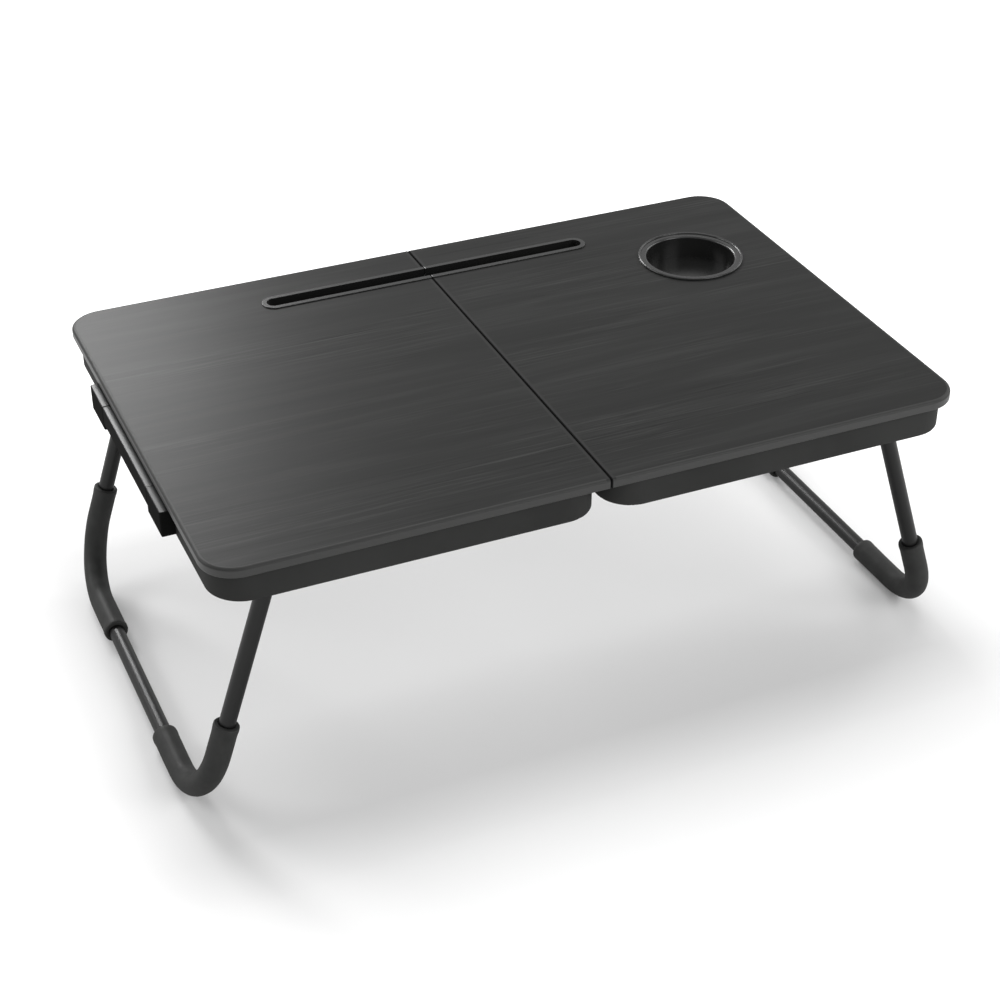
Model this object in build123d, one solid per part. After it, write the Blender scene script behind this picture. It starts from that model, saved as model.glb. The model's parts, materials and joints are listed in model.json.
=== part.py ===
from build123d import *
import math
import os

# Folding laptop bed table: two hinged halves on two U-shaped folding legs.
# Origin on the floor under the middle of the table, +X to the right, +Y to the back, +Z up.
# Everything is built at the right-hand side and mirrored for the left.

os.makedirs("parts", exist_ok=True)

# Fits and clearances
RUNNING_FIT = 0.05      # radial, pins and rods that turn or slide
SEAT_FIT = 0.1          # pieces that drop into a cut
SWING_GAP = 0.35        # between moving pieces and what they swing past

# Table top
TABLE_LENGTH = 600.0
TABLE_DEPTH = 400.0
PANEL_THICKNESS = 8.0
PANEL_CORNER_RADIUS = 27.0
SEAM_GAP = 0.8          # between the two top panels
EDGE_BAND = 3.0
EDGE_BAND_ROUND = 2.4   # top edge, away from the seam
EDGE_BAND_FOOT_ROUND = 1.2
EDGE_BAND_SEAM_BEVEL = 0.3

# Frame under each panel
FRAME_HEIGHT = 24.0
FRAME_WALL = 8.0
FRAME_INSET = 5.0       # from the outer edge of the panel
FRAME_SEAM_INSET = 3.0  # from the middle of the table
FRAME_CORNER_RADIUS = 28.0
FRAME_SEAM_RADIUS = 27.0
FRAME_ROUND = 1.0
BOSS_RADIUS = 4.5
BOSS_RECESS = 4.0       # boss end above the bottom of the frame
BOSS_BITE = 1.0         # how far a boss runs into the wall
SEAM_BOSS_Y = 45.0

# Folding legs
LEG_SPLAY = 18.0        # degrees outward from plumb
LEG_SIDE_GAP = 16.0     # middle of an upright to the inside of the frame
PIVOT_END_GAP = 40.5    # pivot to the inside of the frame's end wall
RAIL_SEAM_GAP = 16.1    # middle of the folded floor rail to the inside of the seam wall
LEG_BEND_RADIUS = 55.0
TUBE_RADIUS = 6.3
TUBE_WALL = 1.2
TUBE_OVER_PIVOT = 5.0
PIVOT_DROP = 12.0       # pivot below the underside of the panel
SLEEVE_RADIUS = 9.6
SLEEVE_RISE = 81.0      # sleeve end up from the middle of the floor rail
SLEEVE_REACH = 99.0     # sleeve end in from the middle of the upright
SLEEVE_BEVEL = 0.8
SLEEVE_MOUTH = 0.5      # bevel of the bore's two ends
PLUG_DEPTH = 16.0
PLUG_HEAD = 1.5
PLUG_ROUND = 1.0

# Leg pivots
PIN_RADIUS = 2.5
PIN_HEAD_RADIUS = 4.2
PIN_HEAD = 1.6
BRACKET_SHEET = 1.5
CHEEK = 2.0
CHEEK_GAP = 0.5         # tube to cheek
CHEEK_RADIUS = 8.0
BRACKET_INNER = 18.0    # base plate from the pivot, towards the seam
BRACKET_OUTER = 21.0    # base plate from the pivot, away from the seam
STOP_START = 7.0        # stop web, measured down the leg from the pivot
STOP_END = 12.0
STOP_REACH = 24.0       # cut between the cheeks, down from the pivot
BRACKET_SCREW_INSET = 4.5

# Clip that takes the floor rail of a folded leg
CLIP_WIDTH = 14.0
CLIP_FINGER = 2.2
CLIP_FINGER_TIP = 4.0   # below the middle of the folded rail
CLIP_TIP_ROUND = 0.9
CLIP_FOOT = 3.5         # base plate past the fingers

# Tablet slot across both halves
SLOT_BACK_GAP = 47.0    # middle of the slot from the back edge of the top
SLOT_END = 146.5        # outer end of the rim, from the middle of the table
SLOT_WIDTH = 13.0
SLOT_WALL = 1.5
SLOT_RIM = 2.5          # rim beyond the wall
SLOT_RIM_HEIGHT = 1.0
RIM_SEAT = 0.4          # rims and flange sunk into the panels
SLOT_RIM_ROUND = 0.4

# Cup holder
CUP_END_GAP = 82.0      # middle of the cup holder from the end of the top
CUP_BACK_GAP = 109.0    # and from its back edge
CUP_DIAMETER = 75.0
CUP_DEPTH = 18.0
CUP_WALL = 2.0
CUP_FLANGE_RADIUS = 45.0
CUP_FLANGE_HEIGHT = 0.8
CUP_BEAD_RADIUS = 43.7
CUP_BEAD = 1.1
CUP_LIP_ROUND = 2.0     # mouth of the well

# Hinges between the halves
HINGE_SIDE_GAP = 80.0   # middle of a hinge from the front or back edge of the top
HINGE_LENGTH = 40.0
HINGE_DROP = 0.25       # axis below the bottom of the frames
KNUCKLE_RADIUS = 2.8
KNUCKLE_SPLIT = 7.9     # ends of the middle knuckle
KNUCKLE_GAP = 0.2
HINGE_PIN_RADIUS = 1.4
HINGE_PIN_HEAD_RADIUS = 2.5
HINGE_PIN_HEAD = 1.4
LEAF_SHEET = 1.2
LEAF_RECESS = 0.15      # leaf above the bottom of the frame
LEAF_END = 9.6          # leaf edge from the hinge axis
LEAF_SCREW_X = 6.4
LEAF_SCREW_Y = 13.0
LEAF_SCREW_LENGTH = 10.0
LEAF_SCREW_RADIUS = 1.1
LEAF_SCREW_HEAD_RADIUS = 2.1

# Pull-out carry handle on the left end
HANDLE_LENGTH = 196.0
HANDLE_BLOCK_LENGTH = 36.0
HANDLE_BLOCK_PROUD = 10.8
HANDLE_BLOCK_HEIGHT = 21.0
HANDLE_BLOCK_ROUND = 1.2
HANDLE_TOP_GAP = 1.3    # blocks and grip under the panel
GRIP_THICKNESS = 8.4
GRIP_HEIGHT = 16.0
GRIP_ROUND = 1.2
GRIP_WALL_GAP = 2.3     # grip to frame when pushed in
GRIP_END_GAP = 0.5
HANDLE_TRAVEL = 18.0
ROD_RADIUS = 3.0
ROD_Y = 45.0
ROD_IN_GRIP = 5.0
COLLAR_RADIUS = 5.5
COLLAR = 2.0
COLLAR_STOP_GAP = 0.3
ROD_TIP = 1.5           # rod past its collar
HANDLE_SCREW_SPREAD = 20.0
HANDLE_SCREW_IN_BLOCK = 7.0

# Pan-head screws
SCREW_RADIUS = 1.5
SCREW_HEAD_RADIUS = 3.0
SCREW_HEAD = 2.0
SCREW_HEAD_ROUND = 0.8
SCREW_PILOT_FIT = 0.05
SCREW_IN_PANEL = 6.0
RECESS_WIDTH = 0.7
RECESS_LENGTH = 3.0
RECESS_DEPTH = 1.0

# Heights and places that follow from the sizes above
splay = math.radians(LEG_SPLAY)
half_length = TABLE_LENGTH / 2
half_depth = TABLE_DEPTH / 2
frame_end = half_length - FRAME_INSET
frame_side = half_depth - FRAME_INSET
frame_end_inner = frame_end - FRAME_WALL
frame_side_inner = frame_side - FRAME_WALL
frame_seam_inner = FRAME_SEAM_INSET + FRAME_WALL
pivot_x = frame_end_inner - PIVOT_END_GAP
folded_rail_x = frame_seam_inner + RAIL_SEAM_GAP
leg_length = pivot_x - folded_rail_x
leg_half_width = frame_side_inner - LEG_SIDE_GAP
pivot_z = leg_length * math.cos(splay) + SLEEVE_RADIUS
panel_bottom = pivot_z + PIVOT_DROP
table_height = panel_bottom + PANEL_THICKNESS
frame_bottom = panel_bottom - FRAME_HEIGHT
hinge_y = half_depth - HINGE_SIDE_GAP
hinge_z = frame_bottom - HINGE_DROP
slot_y = half_depth - SLOT_BACK_GAP
cup_x = half_length - CUP_END_GAP
cup_y = half_depth - CUP_BACK_GAP


def save(name, *shapes):
    """Writes one node; several shapes become separate solids of the same node."""
    shape = shapes[0] if len(shapes) == 1 else Compound(children=list(shapes))
    export_step(shape, f"parts/{name}.step")


def to_side(shape, side):
    """Leaves a right-hand shape where it is, or mirrors it to the left."""
    return shape if side > 0 else shape.mirror(Plane.YZ)


def along_y(radius, y_from, y_to, x=0.0, z=0.0):
    """Round bar along Y."""
    middle = Pos(x, (y_from + y_to) / 2, z) * Rot(90, 0, 0)
    return middle * Cylinder(radius, y_to - y_from)


def along_x(radius, x_from, x_to, y=0.0, z=0.0):
    """Round bar along X."""
    middle = Pos((x_from + x_to) / 2, y, z) * Rot(0, 90, 0)
    return middle * Cylinder(radius, x_to - x_from)


def upright(radius, z_from, z_to, x=0.0, y=0.0):
    """Round bar along Z."""
    return Pos(x, y, (z_from + z_to) / 2) * Cylinder(radius, z_to - z_from)


def block(x, y, z):
    """Box between two limits in each direction."""
    middle = Pos(sum(x) / 2, sum(y) / 2, sum(z) / 2)
    return middle * Box(x[1] - x[0], y[1] - y[0], z[1] - z[0])


def half_plan(seam_x, end_x, side_y, corner_radius):
    """Plan of a table half, square at the seam and round at the outer corners."""
    face = Pos((seam_x + end_x) / 2, 0) * Rectangle(end_x - seam_x, 2 * side_y)
    return fillet(face.vertices().group_by(Axis.X)[-1], corner_radius)


def slab(face, z_from, z_to):
    """Plan face extruded between two heights."""
    return extrude(Pos(0, 0, z_from) * face, amount=z_to - z_from)


def slot_plan(half_width, start=0.0):
    """Plan of the right half of the slot, open at the seam and round at its end."""
    centre = SLOT_END - SLOT_RIM - SLOT_WALL - SLOT_WIDTH / 2
    straight = Pos((start + centre) / 2, slot_y) * Rectangle(centre - start, 2 * half_width)
    return straight + Pos(centre, slot_y) * Circle(half_width)


def pan_screw(length):
    """Pan-head screw along +Z with the underside of its head at the origin."""
    head = upright(SCREW_HEAD_RADIUS, -SCREW_HEAD, 0)
    head = fillet(head.edges().sort_by(Axis.Z)[0], SCREW_HEAD_ROUND)
    for angle in (0, 90):
        bar = Box(RECESS_LENGTH, RECESS_WIDTH, RECESS_DEPTH)
        head -= Pos(0, 0, RECESS_DEPTH / 2 - SCREW_HEAD) * Rot(0, 0, angle) * bar
    return head + upright(SCREW_RADIUS, 0, length)


def boss_places():
    """Plan positions of the screw bosses of the right frame."""
    stand_off = BOSS_RADIUS - BOSS_BITE
    inner_radius = FRAME_CORNER_RADIUS - FRAME_WALL
    diagonal = inner_radius - (inner_radius - stand_off) * math.sqrt(0.5)
    places = [(half_length / 2, s * (frame_side_inner - stand_off)) for s in (-1, 1)]
    places += [(frame_end_inner - diagonal, s * (frame_side_inner - diagonal)) for s in (-1, 1)]
    places += [(frame_seam_inner + stand_off, s * SEAM_BOSS_Y) for s in (-1, 1)]
    places.append((frame_end_inner - stand_off, 0.0))
    return places


def bracket_screw_places():
    """Plan positions of the screws of the right leg brackets and of the clip."""
    offsets = (BRACKET_SCREW_INSET - BRACKET_INNER, BRACKET_OUTER - BRACKET_SCREW_INSET)
    places = [(pivot_x + x, s * leg_half_width) for x in offsets for s in (-1, 1)]
    places.append((folded_rail_x, 0.0))
    return places


# Top panels and their edge bands

def panel_outline(inset):
    """Plan of the right top panel, shrunk by an inset."""
    return half_plan(
        SEAM_GAP / 2 + inset, half_length - inset, half_depth - inset, PANEL_CORNER_RADIUS - inset
    )


def slot_opening():
    """Cut that the slot trim drops into, with a shallow seat for its rim."""
    wall = SLOT_WIDTH / 2 + SLOT_WALL + SEAT_FIT
    seat = slab(slot_plan(wall + SLOT_RIM), table_height - RIM_SEAT, table_height)
    return seat + slab(slot_plan(wall), panel_bottom, table_height)


def cup_opening():
    """Hole for the cup holder, with a shallow seat for its flange."""
    hole = CUP_DIAMETER / 2 + CUP_WALL + SEAT_FIT
    seat_radius = CUP_FLANGE_RADIUS + SEAT_FIT
    seat = upright(seat_radius, table_height - RIM_SEAT, table_height, cup_x, cup_y)
    return seat + upright(hole, panel_bottom, table_height, cup_x, cup_y)


def make_panel(side):
    panel = slab(panel_outline(EDGE_BAND), panel_bottom, table_height)
    panel -= slot_opening()
    if side > 0:
        panel -= cup_opening()
    pilot_top = panel_bottom + SCREW_IN_PANEL + SEAT_FIT
    for x, y in boss_places() + bracket_screw_places():
        panel -= upright(SCREW_RADIUS + SCREW_PILOT_FIT, panel_bottom, pilot_top, x, y)
    return to_side(panel, side)


def make_edge_band(side):
    """Band round the board: well rounded on the outside, just eased along the seam."""
    band = slab(panel_outline(0), panel_bottom, table_height)
    for end, radius in ((-1, EDGE_BAND_ROUND), (0, EDGE_BAND_FOOT_ROUND)):
        rim = band.faces().sort_by(Axis.Z)[end].edges().sort_by(Axis.X)
        band = fillet(rim[1:], radius)
    seam_face = band.faces().sort_by(Axis.X)[0]
    band = chamfer(seam_face.edges().filter_by(Axis.Y), EDGE_BAND_SEAM_BEVEL)
    band -= slab(panel_outline(EDGE_BAND), panel_bottom, table_height)
    band -= slot_opening()
    return to_side(band, side)


# Frames

def frame_outline(inset):
    """Plan of the right frame, shrunk by an inset."""
    face = half_plan(
        FRAME_SEAM_INSET + inset, frame_end - inset, frame_side - inset, FRAME_CORNER_RADIUS - inset
    )
    return fillet(face.vertices().group_by(Axis.X)[0], FRAME_SEAM_RADIUS - inset)


def make_frame(side):
    frame = slab(frame_outline(0), frame_bottom, panel_bottom)
    frame = fillet(frame.faces().sort_by(Axis.Z)[0].edges(), FRAME_ROUND)
    frame -= slab(frame_outline(FRAME_WALL), frame_bottom, panel_bottom)
    for x, y in boss_places():
        frame += upright(BOSS_RADIUS, frame_bottom + BOSS_RECESS, panel_bottom, x, y)
    for x, y in boss_places():
        frame -= upright(SCREW_RADIUS + SCREW_PILOT_FIT, frame_bottom, panel_bottom, x, y)
    trough = slot_plan(SLOT_WIDTH / 2 + SLOT_WALL + SEAT_FIT)
    frame -= slab(trough, panel_bottom - SLOT_WALL - SEAT_FIT, panel_bottom)
    for s in (-1, 1):
        frame -= hinge_pocket(s * hinge_y)
    frame = to_side(frame, side)
    if side < 0:
        frame -= handle_holes()
    return frame


# Hinges

def hinge_pocket(y):
    """Cut in the seam wall for one leaf, its screws and the barrel."""
    reach = HINGE_LENGTH / 2 + SEAT_FIT
    leaf_top = frame_bottom + LEAF_RECESS + LEAF_SHEET
    pocket = block((0, LEAF_END + SEAT_FIT), (y - reach, y + reach), (frame_bottom, leaf_top))
    barrel = HINGE_LENGTH / 2 + KNUCKLE_GAP + HINGE_PIN_HEAD + SWING_GAP
    pocket += along_y(KNUCKLE_RADIUS + SWING_GAP, y - barrel, y + barrel, 0, hinge_z)
    for s in (-1, 1):
        hole = LEAF_SCREW_RADIUS + SCREW_PILOT_FIT
        top = leaf_top + LEAF_SCREW_LENGTH
        pocket += upright(hole, frame_bottom, top, LEAF_SCREW_X, y + s * LEAF_SCREW_Y)
    return pocket


def make_leaf(y, side):
    """Hinge leaf: the left one has the two end knuckles, the right one the middle knuckle."""
    low = frame_bottom + LEAF_RECESS
    high = low + LEAF_SHEET
    end = HINGE_LENGTH / 2
    clear = KNUCKLE_RADIUS + SWING_GAP
    leaf = block((clear, LEAF_END), (y - end, y + end), (low, high))
    if side > 0:
        spans = [(-KNUCKLE_SPLIT, KNUCKLE_SPLIT)]
    else:
        split = KNUCKLE_SPLIT + KNUCKLE_GAP
        spans = [(-end, -split), (split, end)]
    for start, stop in spans:
        leaf += along_y(KNUCKLE_RADIUS, y + start, y + stop, 0, hinge_z)
        leaf += block((0, clear), (y + start, y + stop), (low, high))
    leaf -= along_y(HINGE_PIN_RADIUS + RUNNING_FIT, y - end, y + end, 0, hinge_z)
    for s in (-1, 1):
        leaf -= leaf_screw(y + s * LEAF_SCREW_Y, SCREW_PILOT_FIT)
    return to_side(leaf, side)


def leaf_screw(y, extra=0.0):
    """Countersunk screw up through a leaf of the right half."""
    low = frame_bottom + LEAF_RECESS
    depth = LEAF_SCREW_HEAD_RADIUS - LEAF_SCREW_RADIUS
    cone = Cone(LEAF_SCREW_HEAD_RADIUS + extra, LEAF_SCREW_RADIUS + extra, depth)
    head = Pos(LEAF_SCREW_X, y, low + depth / 2) * cone
    length = LEAF_SHEET + LEAF_SCREW_LENGTH
    return head + upright(LEAF_SCREW_RADIUS + extra, low, low + length, LEAF_SCREW_X, y)


def make_hinge_pin(y):
    reach = HINGE_LENGTH / 2 + KNUCKLE_GAP
    pin = along_y(HINGE_PIN_RADIUS, y - reach, y + reach, 0, hinge_z)
    pin += along_y(HINGE_PIN_HEAD_RADIUS, y - reach - HINGE_PIN_HEAD, y - reach, 0, hinge_z)
    pin += along_y(HINGE_PIN_HEAD_RADIUS, y + reach, y + reach + HINGE_PIN_HEAD, 0, hinge_z)
    return pin


# Leg brackets and clips

def make_leg_bracket(y):
    """Folded sheet bracket with two cheeks for the pivot pin and a sloping stop web."""
    cheek_in = TUBE_RADIUS + CHEEK_GAP
    cheek_out = cheek_in + CHEEK
    sheet_z = PIVOT_DROP - BRACKET_SHEET
    base = block((-BRACKET_INNER, BRACKET_OUTER), (-cheek_out, cheek_out), (sheet_z, PIVOT_DROP))
    base = fillet(base.edges().filter_by(Axis.Z), CHEEK)
    stop_face = TUBE_RADIUS + SWING_GAP
    neck = block((-CHEEK_RADIUS, CHEEK_RADIUS), (-cheek_out, cheek_out), (0, PIVOT_DROP))
    arm = block((0, stop_face + CHEEK), (-cheek_out, cheek_out), (-STOP_END, 0))
    cheeks = along_y(CHEEK_RADIUS, -cheek_out, cheek_out) + neck + Rot(0, -LEG_SPLAY, 0) * arm
    cheeks -= block((-BRACKET_INNER, BRACKET_OUTER), (-cheek_in, cheek_in), (-STOP_REACH, sheet_z))
    cheeks -= along_y(PIN_RADIUS + RUNNING_FIT, -cheek_out, cheek_out)
    web = block((stop_face, stop_face + CHEEK), (-cheek_out, cheek_out), (-STOP_END, -STOP_START))
    bracket = base + cheeks + Rot(0, -LEG_SPLAY, 0) * web
    for x in (-BRACKET_INNER + BRACKET_SCREW_INSET, BRACKET_OUTER - BRACKET_SCREW_INSET):
        bracket -= upright(SCREW_RADIUS + SCREW_PILOT_FIT, sheet_z, PIVOT_DROP, x)
    return Pos(pivot_x, y, pivot_z) * bracket


def make_pivot_pin(y):
    reach = TUBE_RADIUS + CHEEK_GAP + CHEEK
    pin = along_y(PIN_RADIUS, -reach, reach)
    for s in (-1, 1):
        head = along_y(PIN_HEAD_RADIUS, reach, reach + PIN_HEAD)
        head = fillet(head.edges().sort_by(Axis.Y)[-1], PIN_HEAD / 2)
        pin += head if s > 0 else head.mirror(Plane.XZ)
    return Pos(pivot_x, y, pivot_z) * pin


def make_clip():
    """Plate with two fingers either side of the folded floor rail."""
    inner = TUBE_RADIUS + SWING_GAP
    outer = inner + CLIP_FINGER
    half = CLIP_WIDTH / 2
    sheet_z = PIVOT_DROP - BRACKET_SHEET
    clip = block((-outer - CLIP_FOOT, outer + CLIP_FOOT), (-half, half), (sheet_z, PIVOT_DROP))
    for s in (-1, 1):
        finger = block((inner, outer), (-half, half), (-CLIP_FINGER_TIP, sheet_z))
        finger = fillet(finger.faces().sort_by(Axis.Z)[0].edges().filter_by(Axis.Y), CLIP_TIP_ROUND)
        clip += finger if s > 0 else finger.mirror(Plane.YZ)
    clip -= upright(SCREW_RADIUS + SCREW_PILOT_FIT, sheet_z, PIVOT_DROP)
    return Pos(folded_rail_x, 0, pivot_z) * clip


# Legs, built plumb with the pivot axis at the origin and then splayed

def leg_to_place(shape, side):
    return to_side(Pos(pivot_x, 0, pivot_z) * Rot(0, -LEG_SPLAY, 0) * shape, side)


def make_leg_tube(side):
    path = FilletPolyline(
        (0, -leg_half_width, TUBE_OVER_PIVOT),
        (0, -leg_half_width, -leg_length),
        (0, leg_half_width, -leg_length),
        (0, leg_half_width, TUBE_OVER_PIVOT),
        radius=LEG_BEND_RADIUS,
    )
    start = Plane(origin=path @ 0, z_dir=path % 0)
    tube = sweep(start * Circle(TUBE_RADIUS), path)
    tube -= sweep(start * Circle(TUBE_RADIUS - TUBE_WALL), path)
    reach = leg_half_width + TUBE_RADIUS
    tube -= along_y(PIN_RADIUS + RUNNING_FIT, -reach, reach)
    return leg_to_place(tube, side)


def make_sleeve(end, side):
    """Foam sleeve over one bottom corner of the leg."""
    path = FilletPolyline(
        (0, leg_half_width, SLEEVE_RISE - leg_length),
        (0, leg_half_width, -leg_length),
        (0, leg_half_width - SLEEVE_REACH, -leg_length),
        radius=LEG_BEND_RADIUS,
    )
    start = Plane(origin=path @ 0, z_dir=path % 0)
    body = sweep(start * Circle(SLEEVE_RADIUS), path)
    rims = [body.edges().sort_by(Axis.Z)[-1], body.edges().sort_by(Axis.Y)[0]]
    body = chamfer(rims, SLEEVE_BEVEL)
    body -= sweep(start * Circle(TUBE_RADIUS + RUNNING_FIT), path)
    cut_ends = body.faces().filter_by(GeomType.PLANE)
    body = chamfer([face.inner_wires()[0].edge() for face in cut_ends], SLEEVE_MOUTH)
    return leg_to_place(body if end > 0 else body.mirror(Plane.XZ), side)


def make_plug(end, side):
    """Plastic plug in the top of a leg tube, bored for the pivot pin."""
    bore = TUBE_RADIUS - TUBE_WALL
    y = end * leg_half_width
    plug = upright(bore - RUNNING_FIT, TUBE_OVER_PIVOT - PLUG_DEPTH, TUBE_OVER_PIVOT, 0, y)
    head = upright(TUBE_RADIUS, TUBE_OVER_PIVOT, TUBE_OVER_PIVOT + PLUG_HEAD, 0, y)
    plug += fillet(head.edges().sort_by(Axis.Z)[-1], PLUG_ROUND)
    plug -= along_y(PIN_RADIUS + RUNNING_FIT, y - TUBE_RADIUS, y + TUBE_RADIUS)
    return leg_to_place(plug, side)


# Slot trim and cup holder

def make_slot_trim(side):
    """Shallow trough with a raised rim; the two halves meet at the seam."""
    start = SEAM_GAP / 2
    inner = SLOT_WIDTH / 2
    outer = inner + SLOT_WALL
    rim_top = table_height + SLOT_RIM_HEIGHT
    rim = slab(slot_plan(outer + SLOT_RIM, start), table_height - RIM_SEAT, rim_top)
    rim = fillet(rim.faces().sort_by(Axis.Z)[-1].edges(), SLOT_RIM_ROUND)
    trim = rim + slab(slot_plan(outer, start), panel_bottom - SLOT_WALL, table_height)
    trim -= slab(slot_plan(inner), panel_bottom, rim_top)
    return to_side(trim, side)


def make_cup_holder():
    bore = CUP_DIAMETER / 2
    floor = table_height - CUP_DEPTH
    holder = upright(bore + CUP_WALL, floor - CUP_WALL, table_height)
    flange_top = table_height + CUP_FLANGE_HEIGHT
    holder += upright(CUP_FLANGE_RADIUS, table_height - RIM_SEAT, flange_top)
    holder -= upright(bore, floor, flange_top)
    mouth = holder.edges().group_by(Axis.Z)[-1].sort_by(SortBy.RADIUS)[0]
    holder = fillet(mouth, CUP_LIP_ROUND)
    bead = Pos(0, 0, flange_top) * Torus(CUP_BEAD_RADIUS, CUP_BEAD)
    holder += bead - upright(CUP_FLANGE_RADIUS + CUP_BEAD, floor, table_height)
    return Pos(cup_x, cup_y, 0) * holder


# Carry handle, built on the right-hand end and mirrored to the left

handle_top = panel_bottom - HANDLE_TOP_GAP
screw_z = handle_top - HANDLE_BLOCK_HEIGHT / 2
grip_z = handle_top - GRIP_HEIGHT / 2
grip_inner = frame_end + GRIP_WALL_GAP
block_centre_y = (HANDLE_LENGTH - HANDLE_BLOCK_LENGTH) / 2


def handle_screw_places():
    return [s * (block_centre_y + t * HANDLE_SCREW_SPREAD / 2) for s in (-1, 1) for t in (-1, 1)]


def handle_holes():
    """Holes through the left end wall for the guide rods and the block screws."""
    wall = (frame_end_inner, frame_end)
    rod_hole = ROD_RADIUS + RUNNING_FIT
    screw_hole = SCREW_RADIUS + SCREW_PILOT_FIT
    holes = [along_x(rod_hole, *wall, s * ROD_Y, grip_z) for s in (-1, 1)]
    holes += [along_x(screw_hole, *wall, y, screw_z) for y in handle_screw_places()]
    return to_side(Compound(children=holes), -1)


def make_handle_block(end):
    outer_y = HANDLE_LENGTH / 2
    ys = sorted((end * outer_y, end * (outer_y - HANDLE_BLOCK_LENGTH)))
    zs = (handle_top - HANDLE_BLOCK_HEIGHT, handle_top)
    body = block((frame_end, frame_end + HANDLE_BLOCK_PROUD), ys, zs)
    body = fillet(body.faces().sort_by(Axis.X)[-1].edges(), HANDLE_BLOCK_ROUND)
    hole = SCREW_RADIUS + SCREW_PILOT_FIT
    hole_end = frame_end + HANDLE_SCREW_IN_BLOCK + SEAT_FIT
    for y in handle_screw_places():
        if y * end > 0:
            body -= along_x(hole, frame_end, hole_end, y, screw_z)
    return to_side(body, -1)


def make_grip():
    reach = HANDLE_LENGTH / 2 - HANDLE_BLOCK_LENGTH - GRIP_END_GAP
    zs = (handle_top - GRIP_HEIGHT, handle_top)
    grip = block((grip_inner, grip_inner + GRIP_THICKNESS), (-reach, reach), zs)
    grip = fillet(grip.edges().filter_by(Axis.Y), GRIP_ROUND)
    socket = ROD_RADIUS + RUNNING_FIT
    for s in (-1, 1):
        grip -= along_x(socket, grip_inner, grip_inner + ROD_IN_GRIP, s * ROD_Y, grip_z)
    return to_side(grip, -1)


collar_outer = frame_end_inner - HANDLE_TRAVEL - COLLAR_STOP_GAP


def make_rod(end):
    tip = collar_outer - COLLAR - ROD_TIP
    return to_side(along_x(ROD_RADIUS, tip, grip_inner + ROD_IN_GRIP, end * ROD_Y, grip_z), -1)


def make_collar(end):
    span = (collar_outer - COLLAR, collar_outer)
    collar = along_x(COLLAR_RADIUS, *span, end * ROD_Y, grip_z)
    collar -= along_x(ROD_RADIUS + RUNNING_FIT, *span, end * ROD_Y, grip_z)
    return to_side(collar, -1)


def make_handle_screw(y):
    screw = Rot(0, 90, 0) * pan_screw(FRAME_WALL + HANDLE_SCREW_IN_BLOCK)
    return to_side(Pos(frame_end_inner, y, screw_z) * screw, -1)


# Write every node

frame_screw = pan_screw(FRAME_HEIGHT - BOSS_RECESS + SCREW_IN_PANEL)
bracket_screw = pan_screw(BRACKET_SHEET + SCREW_IN_PANEL)

for side, half in ((-1, "left"), (1, "right")):
    save(f"{half}_panel", make_panel(side))
    save(f"{half}_edge_band", make_edge_band(side))
    save(f"{half}_frame", make_frame(side))
    save(f"{half}_slot_trim", make_slot_trim(side))
    save(f"{half}_leg_tube", make_leg_tube(side))
    save(f"{half}_leg_clip", to_side(make_clip(), side))
    for end, row in ((-1, "front"), (1, "back")):
        save(f"{half}_{row}_leg_bracket", to_side(make_leg_bracket(end * leg_half_width), side))
        save(f"{half}_{row}_sleeve", make_sleeve(end, side))
        save(f"{row}_hinge_{half}_leaf", make_leaf(end * hinge_y, side))
    pins = [to_side(make_pivot_pin(s * leg_half_width), side) for s in (-1, 1)]
    save(f"{half}_leg_pins", *pins)
    save(f"{half}_leg_plugs", *[make_plug(s, side) for s in (-1, 1)])
    screws = [Pos(x, y, frame_bottom + BOSS_RECESS) * frame_screw for x, y in boss_places()]
    save(f"{half}_frame_screws", *[to_side(screw, side) for screw in screws])
    sheet_z = panel_bottom - BRACKET_SHEET
    screws = [Pos(x, y, sheet_z) * bracket_screw for x, y in bracket_screw_places()]
    save(f"{half}_bracket_screws", *[to_side(screw, side) for screw in screws])
    ys = [s * hinge_y + t * LEAF_SCREW_Y for s in (-1, 1) for t in (-1, 1)]
    save(f"{half}_hinge_screws", *[to_side(leaf_screw(y), side) for y in ys])

save("hinge_pins", *[make_hinge_pin(s * hinge_y) for s in (-1, 1)])
save("cup_holder", make_cup_holder())
save("handle_grip", make_grip())
save("handle_rods", *[make_rod(s) for s in (-1, 1)])
save("handle_collars", *[make_collar(s) for s in (-1, 1)])
save("handle_screws", *[make_handle_screw(y) for y in handle_screw_places()])
for end, row in ((-1, "front"), (1, "back")):
    save(f"{row}_handle_block", make_handle_block(end))

print(f"table height {table_height:.2f} mm, folded rail at x {folded_rail_x:.1f} mm")
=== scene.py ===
import json
import math

import bmesh
import bpy
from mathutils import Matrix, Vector, noise


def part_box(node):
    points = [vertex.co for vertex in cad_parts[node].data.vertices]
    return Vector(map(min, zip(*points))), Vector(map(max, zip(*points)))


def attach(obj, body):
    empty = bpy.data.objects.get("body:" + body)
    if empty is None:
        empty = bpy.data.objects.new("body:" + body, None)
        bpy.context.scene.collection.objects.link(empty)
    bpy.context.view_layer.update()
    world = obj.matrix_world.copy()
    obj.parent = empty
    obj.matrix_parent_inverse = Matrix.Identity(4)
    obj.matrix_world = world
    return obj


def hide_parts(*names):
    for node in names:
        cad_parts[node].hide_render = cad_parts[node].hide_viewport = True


# Folding laptop bed table. The CAD nodes carry the construction; this script gives every surface its
# finish and models the foam sleeves of the legs. Lengths are in metres.

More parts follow.
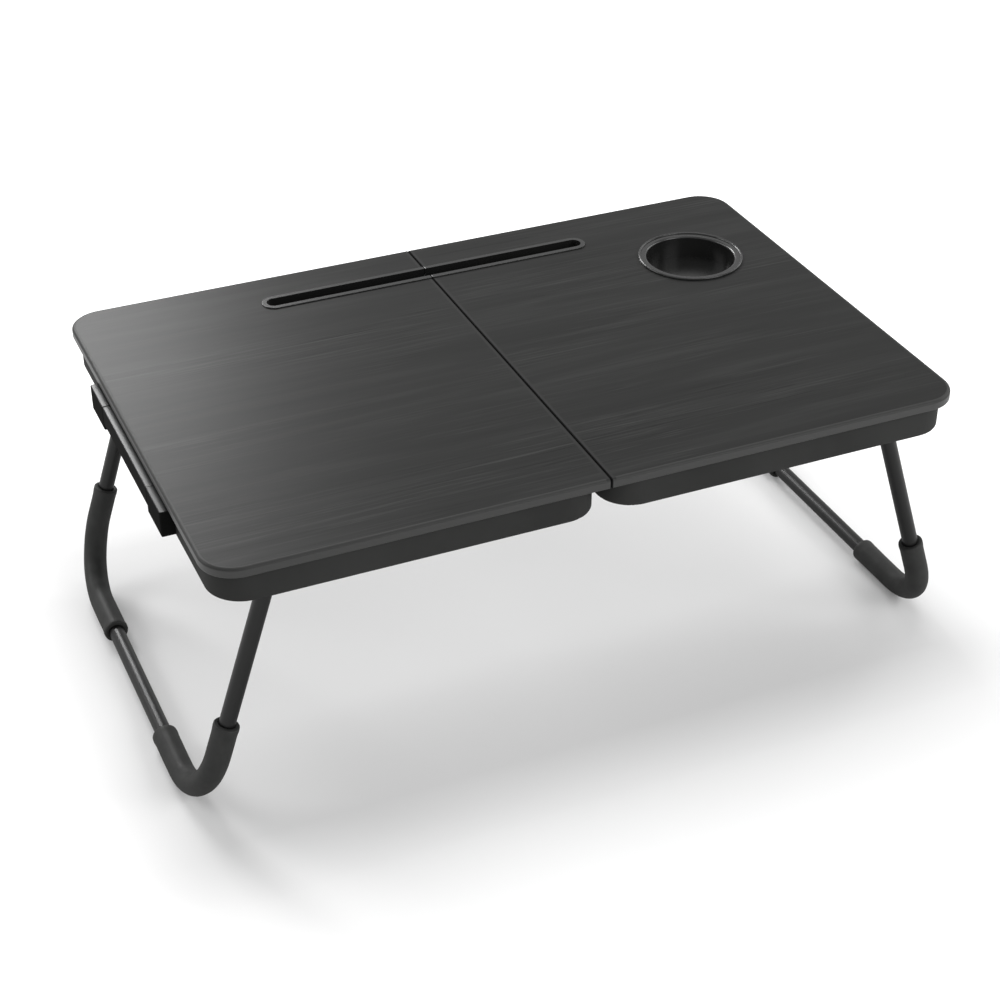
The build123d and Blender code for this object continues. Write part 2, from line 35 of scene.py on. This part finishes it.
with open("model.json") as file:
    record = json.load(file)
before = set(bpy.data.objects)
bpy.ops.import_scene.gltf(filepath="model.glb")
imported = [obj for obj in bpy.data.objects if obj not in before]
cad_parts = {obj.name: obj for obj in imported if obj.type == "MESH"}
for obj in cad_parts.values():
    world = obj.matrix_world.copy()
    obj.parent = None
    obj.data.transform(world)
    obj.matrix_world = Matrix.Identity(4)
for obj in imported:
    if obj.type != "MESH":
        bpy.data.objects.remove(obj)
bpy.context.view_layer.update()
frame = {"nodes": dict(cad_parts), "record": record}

# Camera, fitted to the straight edges of the table in the photograph
CAMERA_AT = (-0.5711, -1.3063, 1.0372)
CAMERA_YAW = 23.61      # degrees to the right of +Y
CAMERA_PITCH = 33.31    # degrees below level
CAMERA_LENS = 74.33     # mm
SENSOR_WIDTH = 36.0     # mm
CLIP_START = 0.05
CLIP_END = 100.0

# Light
AMBIENT = 0.38          # world for diffuse rays; the background itself is 1, which is white
FLOOR_SIZE = 40.0
FLOOR_DROP = 0.0002     # keeps the floor clear of the sleeves that stand on it
FLOOR_ALBEDO = 0.72
# Painted shadow on the floor: less glow under the table, rising outward to the full glow.
GLOW_IN_PAINTED_SHADOW = 0.09       # added for camera, glossy and transmission rays, under the table: kept low there as painted shadow
PAINTED_SHADOW_REACH = 1.5        # from the table's outline to the full glow, over which the painted shadow fades
PAINTED_SHADOW_FADE = [(0.0, GLOW_IN_PAINTED_SHADOW), (0.05, 0.3), (0.14, 0.5), (1.0, 1.0)]
TABLE_HALF = (0.3, 0.2, 0.0)    # half the length and depth of the top

# Softboxes: name, azimuth and elevation in degrees, distance, width, height, watts
SOFTBOXES = [
    ("back_left", -8, 33, 2.7, 1.3, 0.5, 49),
    ("overhead", 40, 72, 3.4, 2.0, 1.6, 24),
    ("front", 150, 32, 2.8, 1.6, 1.2, 30),
    ("left", -60, 30, 2.7, 1.5, 0.7, 19),
    ("right", 85, 27, 2.7, 2.2, 0.7, 20),
]

# Finishes
GREY_TINT = (1.0, 1.01, 0.985)  # a little green, as in the photograph's blacks
FINE_RELIEF = 0.00003   # depth of the grain in wood, plastic and paint
TRIM_RELIEF = 0.00001
FOAM_RELIEF = 0.00012
METAL_RELIEF = 0.00002
WOOD_BASE = 0.22        # tone of plain wood, on a scale from 0 to 1
WOOD_DRIFT = 0.5        # how far slow changes, light streaks and dark pores move the tone
WOOD_STREAKS = 0.45
WOOD_PORES = 0.4
PLASTIC_DARK = 0.88     # darkest and lightest patches of moulded plastic, as shares of its level
PLASTIC_LIGHT = 1.12
BAND_LEVEL = 0.034      # grey of the edge band
BAND_SEAM_LEVEL = 0.017
BAND_GLOSS = 0.74       # on the band's sides and foot
BAND_TOP_GLOSS = 0.32
SEAM_ZONE = 0.0042      # half width of the zone along the seam where the band takes the top's tone; painted shade in the joint within its inner third
GRIP_END_SHADE = 0.0018       # length of the painted shade at the back end of the carry grip

# Foam sleeves: the route and the outer radius are the CAD model's
LEG_SPLAY = math.radians(18.0)
BEND_RADIUS = 0.055
SLEEVE_RADIUS = 0.0096
SLEEVE_BORE = 0.00636   # radius
SLEEVE_RISE = 0.081     # end of the sleeve up from the middle of the floor rail
SLEEVE_REACH = 0.099    # other end, in from the middle of the upright
SLEEVE_SIDES = 48
SLEEVE_STEP = 0.0016
BORE_STEPS = 40
MOUTH_DEPTH = 0.0003    # eased edge of the bore
LIP_RISE = 0.9          # of the mouth's depth, over the bore at the end face
THROAT_DEPTH = 0.45     # of the mouth's depth, halfway down it
THROAT_RISE = 0.3
MOUTH_EDGE = 0.0007     # rounding of the outer edge
EDGE_STEPS = 3
END_FLARE = 0.00035     # swelling just behind each cut end
FLARE_LENGTH = 0.006
CREASE_DEPTH = 0.00045  # folds on the inside of the bend
CREASES = 5
SKIN_DEPTH = 0.00018    # uneven skin
SKIN_PER_METRE = 45     # waves of the skin along the sleeve
SKIN_AROUND = 0.9       # and round it
SEED_STEP = 7

sleeve_straight = SLEEVE_RISE - BEND_RADIUS
sleeve_bend = BEND_RADIUS * math.pi / 2
sleeve_length = sleeve_straight + sleeve_bend + SLEEVE_REACH - BEND_RADIUS


def make_camera():
    data = bpy.data.cameras.new("camera")
    data.sensor_width = SENSOR_WIDTH
    data.lens = CAMERA_LENS
    data.clip_start = CLIP_START
    data.clip_end = CLIP_END
    camera = bpy.data.objects.new("camera", data)
    camera.location = CAMERA_AT
    camera.rotation_euler = (math.radians(90 - CAMERA_PITCH), 0, math.radians(-CAMERA_YAW))
    bpy.context.scene.collection.objects.link(camera)
    bpy.context.scene.camera = camera


# Small helpers for node trees

def connect(tree, value, socket):
    """Links an output to a socket, or sets the socket's own value."""
    if isinstance(value, bpy.types.NodeSocket):
        tree.links.new(value, socket)
    else:
        socket.default_value = value


def maths(tree, operation, a, b=0.0, clamp=False):
    node = tree.nodes.new("ShaderNodeMath")
    node.operation = operation
    node.use_clamp = clamp
    connect(tree, a, node.inputs[0])
    connect(tree, b, node.inputs[1])
    return node.outputs[0]


def ramp(tree, factor, stops):
    """Colour ramp with grey or coloured stops, each (position, value)."""
    node = tree.nodes.new("ShaderNodeValToRGB")
    elements = node.color_ramp.elements
    while len(elements) < len(stops):
        elements.new(0.5)   # its position is set below
    for element, (position, value) in zip(elements, stops):
        element.position = position
        colour = value if hasattr(value, "__len__") else (value, value, value)
        element.color = (*colour, 1.0)
    connect(tree, factor, node.inputs[0])
    return node.outputs[0]


def axes_of(tree, kind):
    """Sockets X, Y and Z of one kind of texture coordinate."""
    coordinates = tree.nodes.new("ShaderNodeTexCoord")
    parts = tree.nodes.new("ShaderNodeSeparateXYZ")
    tree.links.new(coordinates.outputs[kind], parts.inputs[0])
    return parts.outputs


def stretched(tree, scale):
    """Object coordinates in metres, multiplied along each axis."""
    coordinates = tree.nodes.new("ShaderNodeTexCoord")
    mapping = tree.nodes.new("ShaderNodeMapping")
    mapping.inputs["Scale"].default_value = scale
    tree.links.new(coordinates.outputs["Object"], mapping.inputs["Vector"])
    return mapping.outputs[0]


def noise_of(tree, vector, detail=2.0, roughness=0.5, distortion=0.0):
    node = tree.nodes.new("ShaderNodeTexNoise")
    tree.links.new(vector, node.inputs["Vector"])
    node.inputs["Scale"].default_value = 1.0
    node.inputs["Detail"].default_value = detail
    node.inputs["Roughness"].default_value = roughness
    node.inputs["Distortion"].default_value = distortion
    return node.outputs[0]


def speckle(tree, per_metre, detail, roughness=0.5):
    """Noise of the same size along every axis."""
    return noise_of(tree, stretched(tree, (per_metre, per_metre, per_metre)), detail, roughness)


def scaled(tree, value, low, high):
    """Maps 0 to 1 on to a range."""
    return maths(tree, "ADD", maths(tree, "MULTIPLY", value, high - low), low)


def bump(tree, height, distance, strength):
    node = tree.nodes.new("ShaderNodeBump")
    node.inputs["Distance"].default_value = distance
    node.inputs["Strength"].default_value = strength
    tree.links.new(height, node.inputs["Height"])
    return node.outputs[0]


def principled(name, gloss=0.0, gloss_roughness=0.3, metallic=0.0):
    """New material. Gloss is the share of a full clear coat's reflection, over a base without any."""
    made = bpy.data.materials.new(name)
    made.use_nodes = True
    shader = made.node_tree.nodes["Principled BSDF"]
    shader.inputs["Specular IOR Level"].default_value = 0.0
    shader.inputs["Coat Weight"].default_value = gloss
    shader.inputs["Coat Roughness"].default_value = gloss_roughness
    shader.inputs["Metallic"].default_value = metallic
    return made, made.node_tree, shader


def roughen(tree, shader, height, distance, strength):
    """Bump on both the base and its coat."""
    normal = bump(tree, height, distance, strength)
    tree.links.new(normal, shader.inputs["Normal"])
    tree.links.new(normal, shader.inputs["Coat Normal"])


def grey(level):
    """Near-neutral colour."""
    return tuple(level * share for share in GREY_TINT)


def upward(tree, low=0.35, high=0.85):
    """0 to 1 as a surface of the piece itself turns up."""
    return ramp(tree, axes_of(tree, "Normal")["Z"], [(low, 0.0), (high, 1.0)])


# Materials

def wood_laminate():
    """Charcoal laminate: patches of bold grain along X between quiet ones, and a satin surface."""
    made, tree, shader = principled("wood_laminate", gloss=0.27, gloss_roughness=0.34)
    figure = noise_of(tree, stretched(tree, (3.2, 17, 17)), detail=3, distortion=0.8)
    drift = noise_of(tree, stretched(tree, (5, 60, 60)), detail=3, distortion=0.6)
    streaks = noise_of(tree, stretched(tree, (9, 420, 420)), detail=5, roughness=0.6, distortion=0.5)
    pores = noise_of(tree, stretched(tree, (12, 620, 620)), detail=3, roughness=0.55, distortion=0.7)
    bold = ramp(tree, figure, [(0.46, 0.12), (0.66, 1.0)])
    light = ramp(tree, streaks, [(0.5, 0.0), (0.74, 1.0)])
    dark = ramp(tree, pores, [(0.3, 1.0), (0.42, 0.0)])
    lighter = maths(tree, "MULTIPLY", light, WOOD_STREAKS)
    darker = maths(tree, "MULTIPLY", dark, WOOD_PORES)
    grain = maths(tree, "MULTIPLY", maths(tree, "SUBTRACT", lighter, darker), bold)
    plain = maths(tree, "ADD", maths(tree, "MULTIPLY", drift, WOOD_DRIFT), WOOD_BASE)
    tone = maths(tree, "ADD", plain, grain, clamp=True)
    colour = ramp(tree, tone, [(0.0, grey(0.006)), (0.47, grey(0.017)), (1.0, grey(0.045))])
    tree.links.new(colour, shader.inputs["Base Color"])
    tree.links.new(scaled(tree, tone, low=0.4, high=0.6), shader.inputs["Roughness"])
    roughen(tree, shader, grain, FINE_RELIEF, strength=0.5)
    return made


def shade_at_back_joint(tree):
    """1 along the carry grip, and low at its back end: painted shade in the joint to the end block, made by
    taking the coat off there.
    """
    back_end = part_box("handle_grip")[1].y
    from_end = maths(tree, "SUBTRACT", back_end, axes_of(tree, "Object")["Y"])
    return ramp(tree, maths(tree, "DIVIDE", from_end, GRIP_END_SHADE), [(0.6, 0.15), (1.0, 1.0)])


def moulded(
    name, level, gloss, gloss_roughness, grain=1400.0, relief=FINE_RELIEF, worn_gloss=None, joint_shade=False
):
    """Moulded plastic: a fine eroded texture and a slightly uneven tone.

    Worn gloss is that of a top that use has polished; joint shade paints shade at the carry grip's back end
    by taking its coat off there."""
    made, tree, shader = principled(name, gloss, gloss_roughness)
    patches = speckle(tree, per_metre=14, detail=3)
    grains = speckle(tree, per_metre=grain, detail=2, roughness=0.6)
    stops = [(0.3, grey(level * PLASTIC_DARK)), (0.7, grey(level * PLASTIC_LIGHT))]
    tree.links.new(ramp(tree, patches, stops), shader.inputs["Base Color"])
    tree.links.new(scaled(tree, patches, low=0.45, high=0.65), shader.inputs["Roughness"])
    if worn_gloss is not None:
        coat = scaled(tree, upward(tree), gloss, worn_gloss)
        # Painted shade in the joint at the grip's back end.
        if joint_shade:
            coat = maths(tree, "MULTIPLY", coat, shade_at_back_joint(tree))
        tree.links.new(coat, shader.inputs["Coat Weight"])
    roughen(tree, shader, grains, relief, strength=0.5)
    return made


def edge_band():
    """Edging of the halves: light outside, as dark as the top along the seam, with painted shade, black, in
    the joint.
    """
    made, tree, shader = principled("edge_band", gloss=0.8, gloss_roughness=0.45)
    from_middle = maths(tree, "ABSOLUTE", axes_of(tree, "Object")["X"])
    from_seam = maths(tree, "DIVIDE", from_middle, SEAM_ZONE, clamp=True)
    # Painted shade in the joint at the seam: colour and coat fall to a quarter there.
    painted_seam_shade = ramp(tree, from_seam, [(0.2, 0.25), (0.34, 1.0)])
    woody = maths(tree, "MULTIPLY", ramp(tree, from_seam, [(0.85, 1.0), (1.0, 0.0)]), upward(tree))
    level = maths(tree, "MULTIPLY", scaled(tree, woody, BAND_LEVEL, BAND_SEAM_LEVEL), painted_seam_shade)
    tree.links.new(ramp(tree, level, [(0.0, grey(0.0)), (1.0, grey(1.0))]), shader.inputs["Base Color"])
    top = upward(tree, low=0.1, high=0.4)
    coat = maths(tree, "MULTIPLY", scaled(tree, top, BAND_GLOSS, BAND_TOP_GLOSS), painted_seam_shade)
    tree.links.new(coat, shader.inputs["Coat Weight"])
    grains = speckle(tree, per_metre=900, detail=2, roughness=0.6)
    tree.links.new(scaled(tree, grains, low=0.45, high=0.65), shader.inputs["Roughness"])
    roughen(tree, shader, grains, FINE_RELIEF, strength=0.5)
    return made


def gloss_paint():
    """Black powder paint on tube: glossy, with faint orange peel."""
    made, tree, shader = principled("gloss_paint", gloss=0.5, gloss_roughness=0.33)
    peel = speckle(tree, per_metre=420, detail=2)
    patches = speckle(tree, per_metre=30, detail=4)
    tree.links.new(ramp(tree, patches, [(0.3, grey(0.006)), (0.7, grey(0.009))]), shader.inputs["Base Color"])
    tree.links.new(scaled(tree, patches, low=0.3, high=0.4), shader.inputs["Roughness"])
    roughen(tree, shader, peel, FINE_RELIEF, strength=0.03)
    return made


def foam():
    """Closed-cell foam rubber: matte, with a skin of fine cells."""
    made, tree, shader = principled("foam", gloss=0.25, gloss_roughness=0.45)
    patches = speckle(tree, per_metre=60, detail=4, roughness=0.6)
    cells = speckle(tree, per_metre=1500, detail=3, roughness=0.7)
    tree.links.new(ramp(tree, patches, [(0.3, grey(0.032)), (0.7, grey(0.043))]), shader.inputs["Base Color"])
    tree.links.new(scaled(tree, cells, low=0.62, high=0.85), shader.inputs["Roughness"])
    roughen(tree, shader, cells, FOAM_RELIEF, strength=0.6)
    return made


def plated_steel():
    """Zinc-plated steel with a dull spangle."""
    made, tree, shader = principled("plated_steel", metallic=1.0)
    spangle = speckle(tree, per_metre=350, detail=4, roughness=0.65)
    colour = ramp(tree, spangle, [(0.3, (0.42, 0.43, 0.44)), (0.7, (0.6, 0.61, 0.62))])
    tree.links.new(colour, shader.inputs["Base Color"])
    tree.links.new(scaled(tree, spangle, low=0.28, high=0.46), shader.inputs["Roughness"])
    tree.links.new(bump(tree, spangle, METAL_RELIEF, strength=0.4), shader.inputs["Normal"])
    return made


def black_oxide():
    """Blackened steel, slightly uneven."""
    made, tree, shader = principled("black_oxide", metallic=0.7)
    patches = speckle(tree, per_metre=220, detail=4, roughness=0.6)
    tree.links.new(ramp(tree, patches, [(0.3, grey(0.02)), (0.7, grey(0.04))]), shader.inputs["Base Color"])
    tree.links.new(scaled(tree, patches, low=0.32, high=0.5), shader.inputs["Roughness"])
    tree.links.new(bump(tree, patches, METAL_RELIEF, strength=0.4), shader.inputs["Normal"])
    return made


finishes = {
    "wood_top": wood_laminate(),
    "edge_band": edge_band(),
    "frame_plastic": moulded("frame_plastic", level=0.04, gloss=0.07, gloss_roughness=0.34),
    "trim_plastic": moulded(
        "trim_plastic", level=0.011, gloss=0.75, gloss_roughness=0.24, grain=900.0, relief=TRIM_RELIEF
    ),
    "leg_paint": gloss_paint(),
    "sleeve_foam": foam(),
    "plug_plastic": moulded("plug_plastic", level=0.014, gloss=0.3, gloss_roughness=0.4),
    "bracket_paint": moulded("bracket_paint", level=0.014, gloss=0.5, gloss_roughness=0.35, grain=600.0),
    "zinc_steel": plated_steel(),
    "black_steel": black_oxide(),
    # The carry grip's coat is taken off at its back end as painted shade in the joint.
    "handle_plastic": moulded(
        "handle_plastic", level=0.011, gloss=0.03, gloss_roughness=0.3,
        grain=500.0, worn_gloss=0.5, joint_shade=True,
    ),
    "handle_block_plastic": moulded(
        "handle_block_plastic", level=0.011, gloss=0.02, gloss_roughness=0.3, worn_gloss=0.45
    ),
}


def finish_nodes():
    for part in frame["record"]["subparts"]:
        piece = frame["nodes"][part["node"]]
        piece.data.materials.clear()
        piece.data.materials.append(finishes[part["material_slot"]])


# Foam sleeves

def sleeve_line(side, end, distance, rail_x, upright_y):
    """Point, sideways normal and binormal on the middle line of a sleeve, from its upper end."""
    up = Vector((-side * math.sin(LEG_SPLAY), 0, math.cos(LEG_SPLAY)))
    across = Vector((side * math.cos(LEG_SPLAY), 0, math.sin(LEG_SPLAY)))
    outward = Vector((0, end, 0))
    if distance < sleeve_straight:
        height, y, turn = SLEEVE_RISE - distance, upright_y, 0.0
    elif distance < sleeve_straight + sleeve_bend:
        turn = (distance - sleeve_straight) / BEND_RADIUS
        height = BEND_RADIUS * (1 - math.sin(turn))
        y = upright_y - BEND_RADIUS * (1 - math.cos(turn))
    else:
        height, turn = 0.0, math.pi / 2
        y = upright_y - BEND_RADIUS - (distance - sleeve_straight - sleeve_bend)
    point = Vector((side * rail_x, end * y, SLEEVE_RADIUS)) + up * height
    normal = outward * math.cos(turn) - up * math.sin(turn)
    return point, normal, across


def sleeve_swell(distance, angle, seed):
    """How far the foam stands off its plain radius: flared ends, folds inside the bend, uneven skin."""
    from_end = min(distance, sleeve_length - distance)
    flare = END_FLARE * math.exp(-((from_end - FLARE_LENGTH / 2) / (FLARE_LENGTH / 2)) ** 2)
    along = (distance - sleeve_straight) / sleeve_bend
    inside = max(0.0, -math.cos(angle)) ** 2
    folds = 0.0
    if 0 < along < 1:
        folds = inside * math.sin(math.pi * along) * CREASE_DEPTH
        folds *= 0.5 - 0.5 * math.cos(2 * math.pi * CREASES * along)
    place = Vector(
        (distance * SKIN_PER_METRE, math.cos(angle) * SKIN_AROUND, math.sin(angle) * SKIN_AROUND + seed)
    )
    return flare - folds + SKIN_DEPTH * noise.noise(place)


def sleeve_end():
    """Rings of a cut end, from the skin to the bore, as (depth below the end face, radius)."""
    rings = []
    for i in range(1, EDGE_STEPS + 1):
        turn = i * math.pi / (2 * EDGE_STEPS)
        depth = MOUTH_EDGE * (1 - math.sin(turn))
        rings.append((depth, SLEEVE_RADIUS - MOUTH_EDGE + MOUTH_EDGE * math.cos(turn)))
    rings.append((0.0, SLEEVE_BORE + MOUTH_DEPTH * LIP_RISE))
    rings.append((MOUTH_DEPTH * THROAT_DEPTH, SLEEVE_BORE + MOUTH_DEPTH * THROAT_RISE))
    return rings


def sleeve_loop():
    """The sleeve's wall as a closed loop of (distance, radius or None for the outer skin)."""
    skin = sleeve_length - 2 * MOUTH_EDGE
    count = round(skin / SLEEVE_STEP)
    bore = sleeve_length - 2 * MOUTH_DEPTH
    loop = [(MOUTH_EDGE + skin * i / count, None) for i in range(count + 1)]
    loop += [(sleeve_length - depth, radius) for depth, radius in sleeve_end()]
    loop += [
        (sleeve_length - MOUTH_DEPTH - bore * i / BORE_STEPS, SLEEVE_BORE) for i in range(BORE_STEPS + 1)
    ]
    loop += reversed(sleeve_end())
    return loop


def sleeve_mesh(side, end, node, seed):
    """Closed skin of one sleeve, kept above the floor."""
    low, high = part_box(node)
    rail_x = max(abs(low.x), abs(high.x)) - SLEEVE_RADIUS
    upright_y = max(abs(low.y), abs(high.y)) - SLEEVE_RADIUS
    mesh = bmesh.new()
    rings = []
    for distance, radius in sleeve_loop():
        point, normal, across = sleeve_line(side, end, distance, rail_x, upright_y)
        ring = []
        for i in range(SLEEVE_SIDES):
            angle = 2 * math.pi * i / SLEEVE_SIDES
            reach = radius
            if radius is None:
                reach = SLEEVE_RADIUS + sleeve_swell(distance, angle, seed)
            spot = point + reach * (normal * math.cos(angle) + across * math.sin(angle))
            spot.z = max(spot.z, 0.0)
            ring.append(mesh.verts.new(spot))
        rings.append(ring)
    for ring, following in zip(rings, rings[1:] + rings[:1]):
        for i in range(SLEEVE_SIDES):
            j = (i + 1) % SLEEVE_SIDES
            mesh.faces.new((ring[i], ring[j], following[j], following[i]))
    bmesh.ops.recalc_face_normals(mesh, faces=mesh.faces)
    return mesh


def make_sleeve(side, end, name, node, body, seed):
    """Foam sleeve swept round one bottom corner of a leg, in place of its plain solid."""
    mesh = sleeve_mesh(side, end, node, seed)
    data = bpy.data.meshes.new(name)
    mesh.to_mesh(data)
    mesh.free()
    data.polygons.foreach_set("use_smooth", [True] * len(data.polygons))
    piece = bpy.data.objects.new(name, data)
    bpy.context.scene.collection.objects.link(piece)
    data.materials.append(finishes["sleeve_foam"])
    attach(piece, body)
    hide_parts(node)


def make_sleeves():
    seed = 0
    for side, half in ((-1, "left"), (1, "right")):
        for end, row in ((-1, "front"), (1, "back")):
            seed += SEED_STEP
            make_sleeve(side, end, f"{half}_{row}_foam_sleeve", f"{half}_{row}_sleeve", f"{half}_leg", seed)


# Stage and light

def shown_rays(tree):
    """1 for camera, glossy and transmission rays, otherwise 0."""
    path = tree.nodes.new("ShaderNodeLightPath")
    seen = maths(tree, "ADD", path.outputs["Is Camera Ray"], path.outputs["Is Glossy Ray"])
    return maths(tree, "ADD", seen, path.outputs["Is Transmission Ray"], clamp=True)


def make_world():
    world = bpy.data.worlds.new("studio")
    bpy.context.scene.world = world
    world.use_nodes = True
    tree = world.node_tree
    background = tree.nodes["Background"]
    background.inputs["Color"].default_value = (1, 1, 1, 1)
    strength = maths(tree, "MULTIPLY", shown_rays(tree), 1 - AMBIENT)
    tree.links.new(maths(tree, "ADD", strength, AMBIENT), background.inputs["Strength"])


def out_of_painted_shadow(tree):
    """0 under the table, rising to 1 at the glow's reach from its outline; it shapes the painted shadow on
    the floor.
    """
    value = tree.nodes.new("ShaderNodeTexCoord").outputs["Object"]
    for operation, other in (("ABSOLUTE", None), ("SUBTRACT", TABLE_HALF), ("MAXIMUM", (0.0, 0.0, 0.0))):
        node = tree.nodes.new("ShaderNodeVectorMath")
        node.operation = operation
        tree.links.new(value, node.inputs[0])
        if other is not None:
            node.inputs[1].default_value = other
        value = node.outputs["Vector"]
    length = tree.nodes.new("ShaderNodeVectorMath")
    length.operation = "LENGTH"
    tree.links.new(value, length.inputs[0])
    return maths(tree, "DIVIDE", length.outputs["Value"], PAINTED_SHADOW_REACH)


def make_floor():
    bpy.ops.mesh.primitive_plane_add(size=FLOOR_SIZE)
    floor = bpy.context.object
    floor.name = "floor"
    floor.location.z = -FLOOR_DROP
    made = bpy.data.materials.new("floor")
    made.use_nodes = True
    tree = made.node_tree
    tree.nodes.remove(tree.nodes["Principled BSDF"])
    matte = tree.nodes.new("ShaderNodeBsdfDiffuse")
    matte.inputs["Color"].default_value = (FLOOR_ALBEDO, FLOOR_ALBEDO, FLOOR_ALBEDO, 1)
    glow = tree.nodes.new("ShaderNodeEmission")
    # Painted shadow: the floor's glow is kept low under the table.
    level = ramp(tree, out_of_painted_shadow(tree), PAINTED_SHADOW_FADE)
    tree.links.new(maths(tree, "MULTIPLY", shown_rays(tree), level), glow.inputs["Strength"])
    both = tree.nodes.new("ShaderNodeAddShader")
    tree.links.new(matte.outputs[0], both.inputs[0])
    tree.links.new(glow.outputs[0], both.inputs[1])
    tree.links.new(both.outputs[0], tree.nodes["Material Output"].inputs["Surface"])
    floor.data.materials.append(made)


def softbox(name, azimuth, elevation, distance, width, height, watts):
    """Area light aimed at the table. Azimuth 0 is behind it and 90 to its right, in degrees."""
    data = bpy.data.lights.new(name, "AREA")
    data.shape = "RECTANGLE"
    data.size = width
    data.size_y = height
    data.energy = watts
    light = bpy.data.objects.new(name, data)
    turn = math.radians(azimuth)
    rise = math.radians(elevation)
    direction = Vector((math.sin(turn) * math.cos(rise), math.cos(turn) * math.cos(rise), math.sin(rise)))
    light.location = direction * distance
    light.rotation_euler = direction.to_track_quat("Z", "Y").to_euler()
    bpy.context.scene.collection.objects.link(light)


def make_lights():
    for box in SOFTBOXES:
        softbox(*box)


make_camera()
finish_nodes()
make_sleeves()
make_world()
make_floor()
make_lights()
bpy.context.scene.view_settings.view_transform = "Standard"
